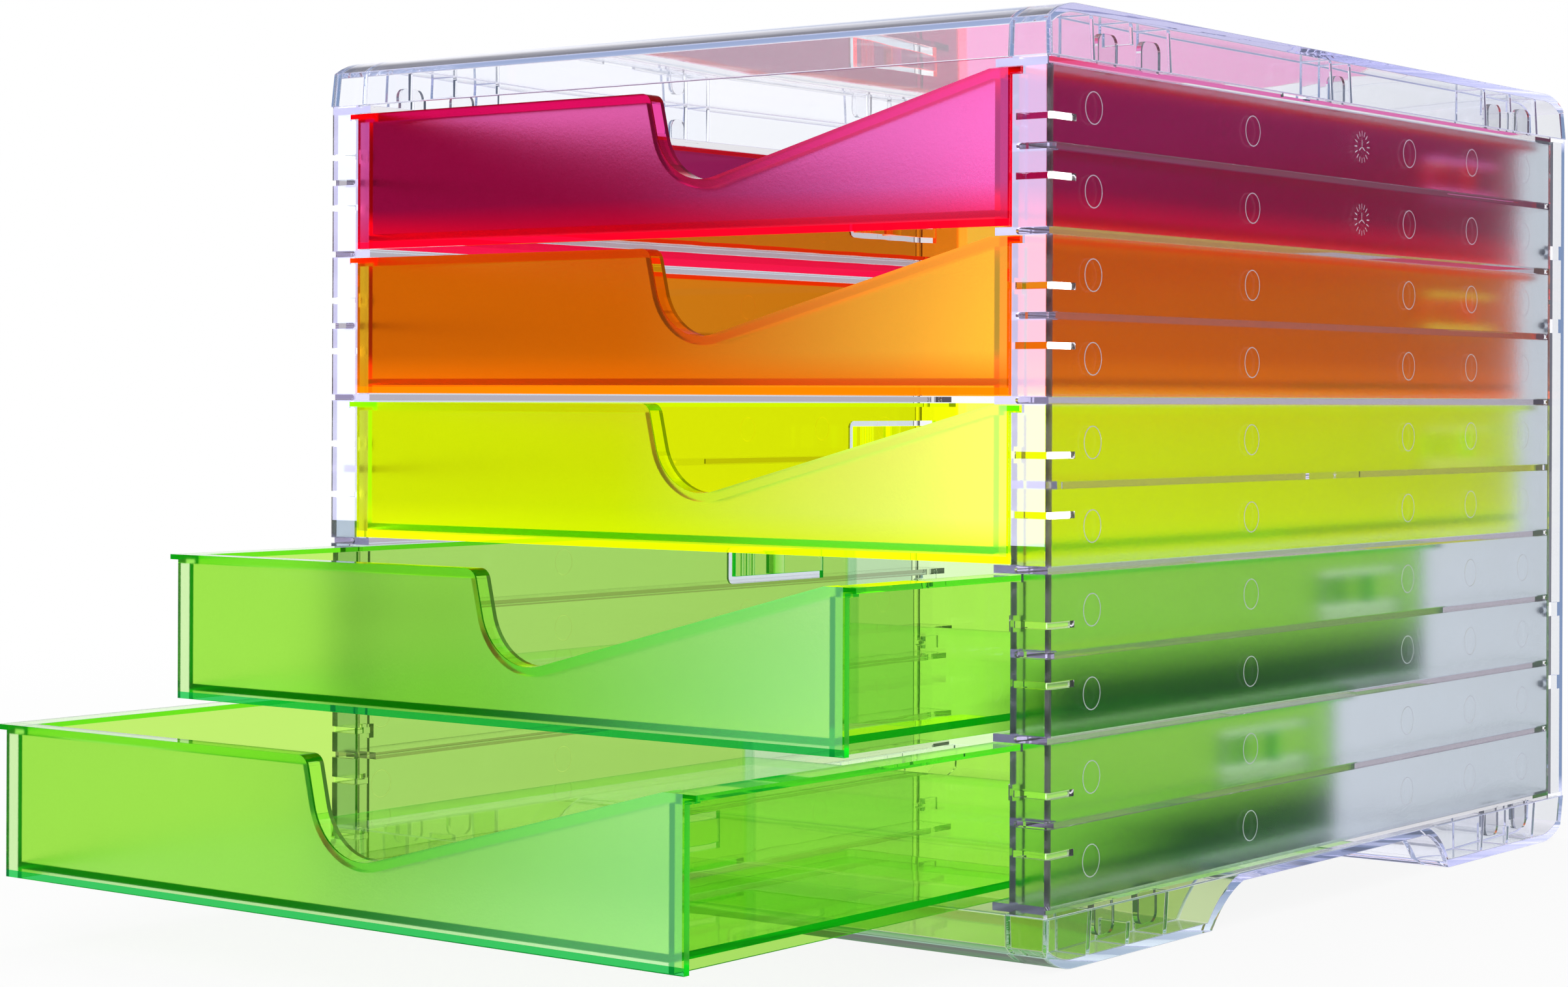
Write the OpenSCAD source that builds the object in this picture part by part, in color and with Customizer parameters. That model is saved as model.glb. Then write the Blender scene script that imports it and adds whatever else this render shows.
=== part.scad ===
// Drawer tower: five sliding drawers in a clear case of five moulded pieces that clip together.
// X runs to the right, Y to the back and Z up. Every piece is drawn with Y = 0 at the front posts
// and Z = 0 at the soles, then moved so that the middle of the front foot's sole is the origin.

/* [Case] */
// Width over the side panels
case_w = 270; // [230:1:330]
// Depth from the front posts to the back panel
case_d = 336.5; // [300:0.5:400]
// Height of the cover and of the base
cap_h = 15; // [14:0.5:20]
// Wall of the side panels, the back and the skirts
wall = 2.2; // [1.8:0.1:2.6]
// Thickness of the cover's top plate and of the soles
plate_t = 2.4; // [1.8:0.1:3]
// How far the four sides of the cover and base lean in over their height
draft = 1; // [0.4:0.1:1.6]
// Height of the cover's plain front face, below its curved shoulder
face_h = 10.5; // [9:0.5:12]
// Depth from the front face to the end of the curved shoulder
shoulder_run = 15; // [10:0.5:20]
// Thickness of the upright ribs in the cover and base
rib_t = 1.6; // [1.2:0.1:2.2]
// Distance from the side face to the long inner wall of the cover and base
pocket_w = 13.7; // [12.5:0.1:16]

/* [Ribs and clips] */
// Distances of the full-height ribs of the cover and base from the middle of the depth
full_ribs = [6.3, 104.2, 145.3]; // [0:0.1:150]
// Distance of the half-height rib
half_rib = 124.6; // [122:0.1:127]
// Distance of each corner clip from the half-height rib
clip_off = 11.5; // [8:0.1:13]
// Width of a corner clip
clip_w = 9.9; // [7:0.1:12]
// Width of the clip between the middle ribs
mid_clip_w = 8; // [6.5:0.1:10]
// Height of the clips above a panel's edge
clip_h = 8.2; // [6:0.1:10]
// Thickness of the clips
clip_t = 2; // [1.5:0.1:3]
// Radius of the clips' tops
clip_r = 3; // [1:0.1:3.2]

/* [Feet] */
// Distance from the front face to the middle of the front foot's sole
foot_mid = 52.5; // [48:0.5:60]
// Length of each foot's sole along Y
foot_len = 75; // [60:1:80]
// Run of the curve from the sole up to the raised middle of the base
foot_flare = 17; // [14:0.5:22]
// Radius of that curve
foot_r = 30; // [24:1:40]

/* [Side panels] */
// Height of one drawer bay
pitch = 45.3; // [42:0.1:60]
// From the base to the lowest runner's middle
bay_floor = 2; // [1.8:0.1:4]
// From the highest runner's middle to the cover
bay_head = 1.5; // [1.4:0.1:4]
// Width of a front post
post_w = 12.2; // [11:0.1:14]
// Thickness of a front post
post_t = 2; // [1.6:0.1:2.6]
// Depth of the return along a post's inner edge
return_d = 5.3; // [4:0.1:7]
// Radius of the case's upright corners
corner_r = 1.6; // [0.8:0.1:2]
// Thickness of the runners
runner_t = 2.2; // [1.8:0.1:3]
// Height of the long grooves outside
groove_h = 1.8; // [1.2:0.1:2.4]
// Depth of the long grooves
groove_depth = 1.2; // [0.6:0.1:1.4]
// Where the grooves end on the post's face, from the side face
groove_wrap = 10; // [7:0.5:10.5]
// Height of the sunk strips along the top and bottom edges
edge_strip = 2.4; // [1.6:0.1:3]
// Depth of the sunk strips
edge_sink = 0.8; // [0.4:0.1:1.2]
// Length of the slots behind each post, from the front
slot_len = 12.7; // [10:0.1:16]
// Height of those slots
slot_h = 1.9; // [1.4:0.1:2.4]
// Height of the slots above and below the middle groove of a bay
slot_off = 8; // [6:0.1:10]
// Strip of the post left between those slots and the opening
slot_strip = 1.2; // [0.8:0.1:2]
// How far a stop nub stands into the opening from its post
nub_out = 1.8; // [1.2:0.1:2]
// Height of a stop nub
nub_h = 4.4; // [3:0.1:6]
// Place of the moulding gate that parts each middle groove, from the front
gate_y = 163; // [100:1:200]
// Length of plain wall round the gate
gate_gap = 33.6; // [20:0.2:60]
// Where a middle groove starts, from the front
groove_start = 6.4; // [3:0.1:12]
// Place of the shallow sight notch in the panel's upper edge, from the front
sight_y = 130.5; // [60:0.5:150]
// Length of the sight notch
sight_len = 16.8; // [8:0.1:24]
// Depth of the sight notch
sight_h = 1.2; // [0.6:0.1:1.6]

/* [Back panel] */
// Depth of the back panel's side strips
back_d = 11; // [9:0.5:16]
// Length of the sunk tongue on which a side panel ends before the back panel
joint_d = 3.3; // [2:0.1:5]
// Gap between the side strips and the cover and base
back_gap = 1.5; // [0.5:0.1:2.5]
// Diameter of the pegs between the back and side panels
peg_d = 2.4; // [1.6:0.1:3]
// Heights of the pegs above and below the middle of the panel
peg_lines = [49.5, 75]; // [30:0.5:100]
// How far a peg reaches before the side strips
peg_reach = 4; // [2:0.5:6]

/* [Drawers] */
// Gap between a drawer and its runners
run_gap = 0.3; // [0.2:0.05:0.6]
// How far the runners reach under a drawer's side walls
runner_lap = 1.1; // [0.6:0.1:1.6]
// Gap between a drawer's side walls and the guide ribs
guide_gap = 1.5; // [1:0.1:3]
// Gap between a drawer's front and the posts
front_gap = 0.5; // [0.3:0.05:1]
// How far a closed drawer's front stands before the posts
proud = 0.5; // [0:0.1:2]
// Thickness of the front
front_t = 2; // [1.6:0.1:3]
// Overhang of the front at each side of the body
front_over = 3.8; // [3:0.1:5]
// Thickness of the drawer's walls
drawer_wall = 1.7; // [1.4:0.1:2.2]
// Thickness of the drawer's floor
floor_t = 2; // [1.6:0.1:3]
// Height of the floor's underside above the drawer's lower edge
floor_up = 2.5; // [1:0.1:5]
// Width of the flange along each side's upper edge
flange_w = 7.2; // [5:0.1:7.6]
// Thickness of the flange
flange_t = 1.5; // [1.2:0.1:2]
// Gap behind a closed drawer
rear_gap = 1.8; // [1:0.1:4]
// Radius of the drawer's rear corners
rear_r = 4; // [2:0.5:8]
// How far drawer 4 stands open
drawer_4_open = 74; // [0:1:220]
// How far drawer 5 stands open
drawer_5_open = 137; // [0:1:220]

/* [Finger notch] */
// Radius of the low end of the notch
notch_r = 17.3; // [12:0.1:20]
// Sideways place of that low end from the middle
notch_x = 16.5; // [0:0.5:30]
// Height of the notch's lowest point above the drawer's lower edge
notch_low = 16.7; // [14:0.1:22]
// Lean of the notch's steep side from upright
notch_lean = 13; // [5:1:25]
// Rise of the notch's long side
notch_rise = 14.9; // [12:0.1:18]
// Radius of the front's upper corner beside the notch
lip_r = 3.5; // [3:0.1:5]
// Height of the turned-back rim along the front's upper edge
rim_h = 2.6; // [1.5:0.1:3]
// Depth of the rim
rim_d = 6; // [4:0.5:9]

/* [Stop tongues] */
// Height of a tongue
tongue_h = 8.7; // [6:0.1:12]
// Length from a tongue's tip to its root
tongue_len = 52.5; // [40:0.5:60]
// Distance from the drawer's rear to the tongue's root
root_back = 20; // [16:0.5:30]
// Height of the slot below a tongue
slot_low = 2.6; // [1:0.1:4]
// Height of the slot above a tongue
slot_high = 2; // [1:0.1:4]
// Length of the slot before a tongue's tip
slot_tip = 4; // [2:0.1:6]
// Gap round a tongue's root
root_gap = 0.3; // [0.2:0.05:0.5]
// Outward height of the stop bump
bump_out = 3.5; // [3:0.1:3.8]
// Length of the stop bump along Y
bump_len = 6.4; // [4:0.1:8]
// Distance from the root to the bump's stop face
bump_at = 28.8; // [24:0.1:34]
// Radius of the grip ribs
grip_r = 0.7; // [0.4:0.1:0.9]

/* [Hidden] */
$fn = 48;

// A little extra so that cuts pass clean through
over = 1;
drawer_count = 5;

// Case: heights of the panels and of the eleven half-bay lines, counted from the base
panel_h = bay_floor + drawer_count * pitch + bay_head;
line_count = 2 * drawer_count;
function line_z(k) = cap_h + bay_floor + k * pitch / 2;
cover_z = cap_h + panel_h;
side_x = case_w / 2;
post_x = side_x - post_w;
mid_y = case_d / 2;

// Case: the shoulder is an arc that meets the top plate level and leans into the face
face_in = draft * face_h / cap_h;
shoulder_rise = cap_h - face_h;
shoulder_r = (pow(shoulder_run - face_in, 2) + pow(shoulder_rise, 2)) / (2 * shoulder_rise);

// Side panels: the clips stand just inside the skirts of the cover and base
clip_x = side_x - wall - draft - clip_t;

// Back panel: the side panels' full thickness ends a joint's length before its side strips
back_y = case_d - back_d;
field_y = back_y - joint_d;

// Drawers: everything across is stepped in from the posts
front_x = post_x - front_gap;
body_x = front_x - front_over;
flange_x = body_x + flange_w;
runner_x = body_x - runner_lap;
guide_x = body_x + guide_gap;
drawer_h = pitch - runner_t - 2 * run_gap;
drawer_len = case_d - wall - rear_gap + proud;
function drawer_z(n) = line_z(2 * (drawer_count - n)) + runner_t / 2 + run_gap;
function drawer_open(n) = n == 4 ? drawer_4_open : n == 5 ? drawer_5_open : 0;

// Drawers: the flange runs in a notch through each post, under the runner
flange_play = 0.4;
flange_side_play = 0.5;

// Finger notch: the low arc's middle, and the points where its two tangents leave it. They lie
// a trace inside the arc, so that each straight side crosses it cleanly.
notch_z = notch_low + notch_r;
trace = 0.02;
function steep_point(r) =
    [notch_x - (r - trace) * cos(notch_lean), notch_z - (r - trace) * sin(notch_lean)];
function long_point(r) =
    [notch_x + (r - trace) * sin(notch_rise), notch_z - (r - trace) * cos(notch_rise)];
function steep_at(r, z) = steep_point(r).x - (z - steep_point(r).y) * tan(notch_lean);
function long_at(r, z) = long_point(r).x + (z - long_point(r).y) / tan(notch_rise);
lip_z = drawer_h - lip_r;
lip_x = notch_x - (notch_r + lip_r + sin(notch_lean) * (lip_z - notch_z)) / cos(notch_lean);

// Tongues: level with the nubs, and hinged about an upright axis in the wall's thickness
tongue_z = pitch / 2 + slot_off - runner_t / 2 - run_gap;
root_y = drawer_len - root_back;
tip_y = root_y - tongue_len;
root_x = body_x - drawer_wall / 2;
grip_places = [5.1, 8.3, 11.6];
bump_slope = 3.4;
nub_y = 2.2;
bump_y = root_y - bump_at - proud;
drawer_travel = bump_y - return_d - run_gap;
echo(drawer_travel = drawer_travel);

// Colours
clear_cap = [0.87, 0.89, 0.95, 0.6];
clear_panel = [0.85, 0.86, 0.93, 0.5];
crimson = [0.78, 0.10, 0.38, 0.8];
orange = [0.96, 0.58, 0.08, 0.8];
lime = [0.85, 0.95, 0.15, 0.8];
green = [0.44, 0.86, 0.39, 0.8];

// ---- shared helpers

module in_frame() {
    translate([0, -foot_mid, 0]) children();
}

// Draws a Y-Z outline and extrudes it along X from x0 to x1
module along_x(x0, x1) {
    translate([x0, 0, 0]) rotate([90, 0, 90]) linear_extrude(x1 - x0) children();
}

// Draws an X-Z outline and extrudes it along Y from y0 to y1
module along_y(y0, y1) {
    translate([0, y1, 0]) rotate([90, 0, 0]) linear_extrude(y1 - y0) children();
}

// A block between two corners
module block(low, high) {
    translate(low) cube(high - low);
}

module both_sides() {
    children();
    mirror([1, 0, 0]) children();
}

module both_ends() {
    children();
    translate([0, case_d, 0]) mirror([0, 1, 0]) children();
}

// ---- cover and base: one shell shape, rim at Z = 0 and plate at Z = cap_h

// Outline with leaning ends, between z = -below and the plate
module leaning_outline(length, inset, top, below) {
    low = inset - draft * below / cap_h;
    high = inset + draft * top / cap_h;
    polygon([[low, -below], [length - low, -below], [length - high, top], [high, top]]);
}

// Side view of the shell: leaning faces under two shoulder arcs
module cap_side(inset, top_inset, below) {
    top = cap_h - top_inset;
    r = shoulder_r - top_inset;
    intersection() {
        leaning_outline(case_d, inset, top, below);
        union() {
            for (y = [shoulder_run, case_d - shoulder_run])
                translate([y, top - r]) circle(r, $fn = 96);
            translate([shoulder_run, -below]) square([case_d - 2 * shoulder_run, top + below]);
        }
    }
}

module cap_block(inset = 0, top_inset = 0, below = 0) {
    intersection() {
        along_x(-side_x, side_x) cap_side(inset, top_inset, below);
        along_y(0, case_d) translate([-side_x, 0])
            leaning_outline(case_w, inset, cap_h - top_inset, below);
    }
}

// An upright rib across the clip pocket of one side, dist from the middle of the depth
module pocket_rib(dist, z0, z1) {
    block([side_x - pocket_w, mid_y + dist - rib_t / 2, z0], [side_x, mid_y + dist + rib_t / 2, z1]);
}

module pocket_ribs() {
    for (dist = full_ribs) pocket_rib(dist, 0, cap_h);
    pocket_rib(half_rib, (cap_h - plate_t) / 2, cap_h);
    translate([side_x - pocket_w - rib_t / 2, 0, 0]) cube([rib_t, case_d, cap_h]);
}

module cap_webs() {
    intersection() {
        cap_block(inset = wall / 2, top_inset = plate_t / 2);
        both_sides() both_ends() pocket_ribs();
    }
}

module top_cover() {
    color(clear_cap) in_frame() translate([0, 0, cover_z]) {
        difference() {
            cap_block();
            cap_block(inset = wall, top_inset = plate_t, below = over);
        }
        cap_webs();
    }
}

// Side view of the room between the feet, grown by a wall thickness to shape the feet's inside
module between_feet(grow, ceiling) {
    sole_y = foot_mid + foot_len / 2;
    flare_h = cap_h - plate_t;
    chord = norm([foot_flare, flare_h]);
    reach = sqrt(pow(foot_r, 2) - pow(chord / 2, 2));
    arc_y = sole_y + foot_flare / 2 + reach * flare_h / chord;
    arc_z = flare_h / 2 - reach * foot_flare / chord;
    intersection() {
        translate([0, -over]) square([case_d, ceiling + over]);
        union() {
            for (y = [arc_y, case_d - arc_y])
                translate([y, arc_z]) circle(foot_r + grow, $fn = 96);
            translate([arc_y, -over]) square([case_d - 2 * arc_y, cap_h + over]);
        }
    }
}

module base() {
    color(clear_cap) in_frame() difference() {
        translate([0, 0, cap_h]) mirror([0, 0, 1]) {
            difference() {
                cap_block();
                difference() {
                    cap_block(inset = wall, top_inset = plate_t, below = over);
                    translate([0, 0, cap_h]) mirror([0, 0, 1])
                        along_x(-side_x, side_x) between_feet(plate_t, cap_h + 2 * over);
                }
            }
            cap_webs();
        }
        along_x(-side_x - over, side_x + over) between_feet(0, cap_h - plate_t);
    }
}

// ---- side panels, drawn for the right-hand side

// Plan of the wall, the front post and the return along the post's inner edge
module side_plan() {
    difference() {
        union() {
            translate([side_x - wall, 0]) square([wall, field_y]);
            translate([side_x - wall, 0]) square([wall - edge_sink, back_y - run_gap]);
            translate([post_x, 0]) square([post_w, post_t]);
            translate([post_x, 0]) square([post_t, return_d]);
        }
        translate([side_x - corner_r, 0]) difference() {
            square(corner_r);
            translate([0, corner_r]) circle(corner_r);
        }
    }
}

// A runner or guide rib from the wall inwards and from start_y back, z above the ground
module runner(inner_x, start_y, z) {
    block([inner_x, start_y, z - runner_t / 2],
          [side_x - wall / 2, back_y - run_gap, z + runner_t / 2]);
}

// A long groove outside that turns the corner and ends round on the post's face
module groove(z) {
    block([side_x - groove_depth, -over, z - groove_h / 2],
          [side_x + over, field_y - groove_h, z + groove_h / 2]);
    block([side_x - groove_wrap, -over, z - groove_h / 2],
          [side_x + over, groove_depth, z + groove_h / 2]);
    translate([side_x - groove_wrap, groove_depth, z]) rotate([90, 0, 0])
        cylinder(h = groove_depth + over, d = groove_h);
    translate([side_x - groove_depth, field_y - groove_h, z]) rotate([0, 90, 0])
        cylinder(h = groove_depth + over, d = groove_h);
}

// The middle groove stays off the post and stops each side of the moulding gate
module middle_groove(z) {
    for (span = [[groove_start, gate_y - gate_gap / 2], [gate_y + gate_gap / 2, field_y - groove_h]])
        block([side_x - groove_depth, span[0], z - groove_h / 2],
              [side_x + over, span[1], z + groove_h / 2]);
}

// Slots through the wall and the post that shape the stop nubs, above and below a bay's middle
module nub_slots(z) {
    for (side = [-1, 1])
        block([post_x + slot_strip, -over, z + side * slot_off - slot_h / 2],
              [side_x + over, slot_len, z + side * slot_off + slot_h / 2]);
}

module stop_nub(z) {
    block([post_x - nub_out, nub_y, z - nub_h / 2], [post_x + post_t / 2, return_d, z + nub_h / 2]);
}

// Room in the post for the flange of the drawer whose top runner is at z
module flange_notch(z) {
    high = z - runner_t / 2;
    low = high - run_gap - flange_t - flange_play;
    block([post_x - over, -over, low], [flange_x + flange_side_play, return_d + over, high]);
}

// One clip plate that stands on the end runner and reaches into the cover or base
module clip_plate(y, width) {
    along_x(clip_x, clip_x + clip_t) {
        translate([y - width / 2, -bay_head]) square([width, clip_h + bay_head - clip_r]);
        translate([y - width / 2 + clip_r, 0]) square([width - 2 * clip_r, clip_h]);
        for (side = [-1, 1])
            translate([y + side * (width / 2 - clip_r), clip_h - clip_r]) circle(clip_r);
    }
}

// Clips of one end of a panel: a pair near each corner, and one amid the cover's middle ribs
module clips(middle) {
    both_ends() for (side = [-1, 1])
        clip_plate(mid_y + half_rib + side * clip_off, clip_w);
    if (middle) clip_plate(mid_y, mid_clip_w);
}

module right_panel() {
    difference() {
        union() {
            translate([0, 0, cap_h]) linear_extrude(panel_h) side_plan();
            for (k = [0 : 2 : line_count]) runner(runner_x, 0, line_z(k));
            for (k = [1 : 2 : line_count]) {
                runner(guide_x, return_d, line_z(k));
                stop_nub(line_z(k) + slot_off);
            }
        }
        for (k = [1 : line_count - 1])
            if (k == line_count / 2) middle_groove(line_z(k)); else groove(line_z(k));
        for (k = [1 : 2 : line_count]) nub_slots(line_z(k));
        for (k = [2 : 2 : line_count]) flange_notch(line_z(k));
        for (z = [cap_h - over, cover_z - edge_strip])
            block([side_x - edge_sink, -over, z], [side_x + over, case_d, z + edge_strip + over]);
        block([side_x - wall - over, sight_y, cover_z - sight_h],
              [side_x + over, sight_y + sight_len, cover_z + over]);
    }
    translate([0, 0, cover_z]) clips(true);
    translate([0, 0, cap_h]) mirror([0, 0, 1]) clips(false);
}

module right_side() {
    color(clear_panel) in_frame() right_panel();
}

module left_side() {
    color(clear_panel) in_frame() mirror([1, 0, 0]) right_panel();
}

// ---- back panel

// Plan of the back wall and its two side strips
module back_plan() {
    difference() {
        translate([-side_x, back_y]) square([case_w, back_d]);
        translate([-side_x + wall, back_y - over]) square([case_w - 2 * wall, back_d - wall + over]);
        for (side = [-1, 1])
            translate([side * (side_x - corner_r), case_d - corner_r]) difference() {
                translate([side > 0 ? 0 : -corner_r - over, 0]) square(corner_r + over);
                circle(corner_r);
            }
    }
}

// A peg on a small lug, which reaches forward inside the side panel's wall
module back_peg(z) {
    peg_x = side_x - wall - run_gap - peg_d / 2;
    translate([peg_x, back_y - peg_reach, z]) rotate([-90, 0, 0]) cylinder(h = back_d, d = peg_d);
    block([peg_x - peg_d / 2, back_y + run_gap, z - peg_d],
          [side_x - wall / 2, case_d - wall / 2, z + peg_d]);
}

module back_panel() {
    color(clear_panel) in_frame() {
        translate([0, 0, cap_h]) linear_extrude(panel_h) difference() {
            back_plan();
            translate([-side_x - over, back_y - over]) square([case_w + 2 * over, back_d - wall + over]);
        }
        translate([0, 0, cap_h + back_gap]) linear_extrude(panel_h - 2 * back_gap) back_plan();
        both_sides() for (dist = peg_lines, side = [-1, 1])
            back_peg(cap_h + panel_h / 2 + side * dist);
    }
}

// ---- drawers, drawn with the front face at Y = 0 and the lower edge at Z = 0

// The notch above the front's edge: a low arc between a steep side and a long slope
module notch_room(grow) {
    r = notch_r + grow;
    high = drawer_h + 2 * over;
    translate([notch_x, notch_z]) circle(r, $fn = 96);
    polygon([steep_point(r), [steep_at(r, high), high], [long_at(r, high), high], long_point(r),
             [notch_x, notch_z]]);
}

// What rounds the upper corner beside the notch
module lip_corner() {
    foot = [lip_x + lip_r * cos(notch_lean), lip_z + lip_r * sin(notch_lean)];
    difference() {
        polygon([[lip_x, lip_z], foot, [foot.x + over, drawer_h + over], [lip_x, drawer_h + over]]);
        translate([lip_x, lip_z]) circle(lip_r);
    }
}

module front_outline() {
    difference() {
        translate([-front_x, 0]) square([2 * front_x, drawer_h]);
        notch_room(0);
        lip_corner();
    }
}

module rim_outline() {
    difference() {
        front_outline();
        difference() {
            translate([-case_w, -over]) square([2 * case_w, drawer_h + over - rim_h]);
            notch_room(rim_h);
        }
    }
}

// Plan of the drawer's body with round rear corners, stepped in by inset from its sides and rear
module body_plan(inset, front_y) {
    x = body_x - inset;
    y = drawer_len - inset;
    r = rear_r - inset;
    translate([-x, front_y]) square([2 * x, y - r - front_y]);
    translate([-x + r, y - 2 * r]) square([2 * (x - r), 2 * r]);
    for (side = [-1, 1]) translate([side * (x - r), y - r]) circle(r);
}

// The window in the right-hand wall that a tongue stands in
module tongue_window() {
    tip_r = 2.5;
    low = tongue_z - tongue_h / 2 - slot_low;
    high = tongue_z + tongue_h / 2 + slot_high;
    along_x(body_x - 2 * drawer_wall, body_x + over) {
        translate([tip_y - slot_tip + tip_r, low]) square([tongue_len + slot_tip - tip_r, high - low]);
        translate([tip_y - slot_tip, low + tip_r]) square([2 * tip_r, high - low - 2 * tip_r]);
        for (z = [low + tip_r, high - tip_r])
            translate([tip_y - slot_tip + tip_r, z]) circle(tip_r);
    }
    translate([root_x, root_y, low]) cylinder(h = high - low, r = drawer_wall / 2 + root_gap);
}

module drawer(n) {
    in_frame() translate([0, -proud - drawer_open(n), drawer_z(n)]) {
        difference() {
            union() {
                along_y(0, front_t) front_outline();
                along_y(0, rim_d) rim_outline();
                translate([0, 0, floor_up]) linear_extrude(floor_t)
                    body_plan(drawer_wall / 2, front_t / 2);
                difference() {
                    linear_extrude(drawer_h) body_plan(0, front_t / 2);
                    translate([0, 0, -over]) linear_extrude(drawer_h + 2 * over)
                        body_plan(drawer_wall, -over);
                }
                both_sides() block([body_x - drawer_wall / 2, 0, drawer_h - flange_t],
                                   [flange_x, drawer_len - rear_r, drawer_h]);
            }
            both_sides() tongue_window();
        }
    }
}

// ---- stop tongues, drawn for the right-hand wall of a drawer

// Plan of a tongue: a flat strip with a round root, grip ribs and the stop bump
module tongue_plan() {
    stop_y = root_y - bump_at;
    translate([body_x - drawer_wall, tip_y]) square([drawer_wall, tongue_len]);
    translate([root_x, root_y]) circle(drawer_wall / 2);
    for (place = grip_places) translate([body_x, tip_y + place]) circle(grip_r);
    polygon([[body_x - drawer_wall / 2, stop_y], [body_x + bump_out, stop_y],
             [body_x + bump_out, stop_y + bump_len - bump_slope],
             [body_x, stop_y + bump_len], [body_x - drawer_wall / 2, stop_y + bump_len]]);
}

module tongue(n) {
    in_frame() translate([0, -proud - drawer_open(n), drawer_z(n) + tongue_z - tongue_h / 2])
        linear_extrude(tongue_h) tongue_plan();
}

module left_tongue(n) {
    mirror([1, 0, 0]) tongue(n);
}

module drawer_1() { color(crimson) drawer(1); }
module drawer_2() { color(orange) drawer(2); }
module drawer_3() { color(lime) drawer(3); }
module drawer_4() { color(green) drawer(4); }
module drawer_5() { color(green) drawer(5); }

module drawer_1_left_tongue() { color(crimson) left_tongue(1); }
module drawer_1_right_tongue() { color(crimson) tongue(1); }
module drawer_2_left_tongue() { color(orange) left_tongue(2); }
module drawer_2_right_tongue() { color(orange) tongue(2); }
module drawer_3_left_tongue() { color(lime) left_tongue(3); }
module drawer_3_right_tongue() { color(lime) tongue(3); }
module drawer_4_left_tongue() { color(green) left_tongue(4); }
module drawer_4_right_tongue() { color(green) tongue(4); }
module drawer_5_left_tongue() { color(green) left_tongue(5); }
module drawer_5_right_tongue() { color(green) tongue(5); }

top_cover();
base();
left_side();
right_side();
back_panel();
drawer_1();
drawer_1_left_tongue();
drawer_1_right_tongue();
drawer_2();
drawer_2_left_tongue();
drawer_2_right_tongue();
drawer_3();
drawer_3_left_tongue();
drawer_3_right_tongue();
drawer_4();
drawer_4_left_tongue();
drawer_4_right_tongue();
drawer_5();
drawer_5_left_tongue();
drawer_5_right_tongue();
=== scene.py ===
import math

import bmesh
import bpy
from mathutils import Matrix, Vector


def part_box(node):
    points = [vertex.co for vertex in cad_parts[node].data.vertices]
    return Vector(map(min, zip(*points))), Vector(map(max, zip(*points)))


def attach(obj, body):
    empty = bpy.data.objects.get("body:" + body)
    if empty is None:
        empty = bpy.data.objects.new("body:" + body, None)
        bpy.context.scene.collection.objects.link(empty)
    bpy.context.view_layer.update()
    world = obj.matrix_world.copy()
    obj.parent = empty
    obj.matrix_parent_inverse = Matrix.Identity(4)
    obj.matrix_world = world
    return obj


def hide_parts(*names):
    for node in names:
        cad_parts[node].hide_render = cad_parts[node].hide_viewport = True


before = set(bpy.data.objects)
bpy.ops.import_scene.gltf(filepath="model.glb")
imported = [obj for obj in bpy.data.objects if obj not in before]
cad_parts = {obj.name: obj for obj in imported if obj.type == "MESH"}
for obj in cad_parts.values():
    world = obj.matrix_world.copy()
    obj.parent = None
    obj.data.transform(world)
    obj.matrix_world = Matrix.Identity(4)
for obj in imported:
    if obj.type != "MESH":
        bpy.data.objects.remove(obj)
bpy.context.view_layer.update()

# Drawer tower: five see-through drawers in a clear case. Everything is in metres, +Z up, +Y back,
# with the origin under the middle of the front foot.

MM = 0.001
DRAWERS = range(1, 6)

# ---- camera, at the photograph's viewing angle

CAMERA_PLACE = Vector((0.58073, -0.75515, 0.15328))
CAMERA_YAW = -0.6502
CAMERA_ROLL = 0.00406
CAMERA_LENS = 71.71
CAMERA_SHIFT_Y = -0.0609


def make_camera():
    data = bpy.data.cameras.new("camera")
    data.lens = CAMERA_LENS
    data.shift_y = CAMERA_SHIFT_Y
    data.clip_start = 0.05
    camera = bpy.data.objects.new("camera", data)
    bpy.context.scene.collection.objects.link(camera)
    ahead = Vector((math.sin(CAMERA_YAW), math.cos(CAMERA_YAW), 0))
    level = Vector((math.cos(CAMERA_YAW), -math.sin(CAMERA_YAW), 0))
    up = Vector((0, 0, 1))
    right = level * math.cos(CAMERA_ROLL) + up * math.sin(CAMERA_ROLL)
    top = up * math.cos(CAMERA_ROLL) - level * math.sin(CAMERA_ROLL)
    turned = Matrix((right, top, -ahead)).transposed().to_4x4()
    turned.translation = CAMERA_PLACE
    camera.matrix_world = turned
    bpy.context.scene.camera = camera


# ---- small helpers for shader nodes

def add_node(tree, kind, **settings):
    made = tree.nodes.new(kind)
    for name, value in settings.items():
        setattr(made, name, value)
    return made


def set_inputs(node, **values):
    for name, value in values.items():
        node.inputs[name.replace("_", " ")].default_value = value


def new_material(name):
    material = bpy.data.materials.new(name)
    material.use_nodes = True
    tree = material.node_tree
    return material, tree, tree.nodes["Principled BSDF"]


# ---- materials

PLASTIC_IOR = 1.49
FACE_REFLECTION = 0.4
LIGHT_BOUNCES = 24
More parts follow.
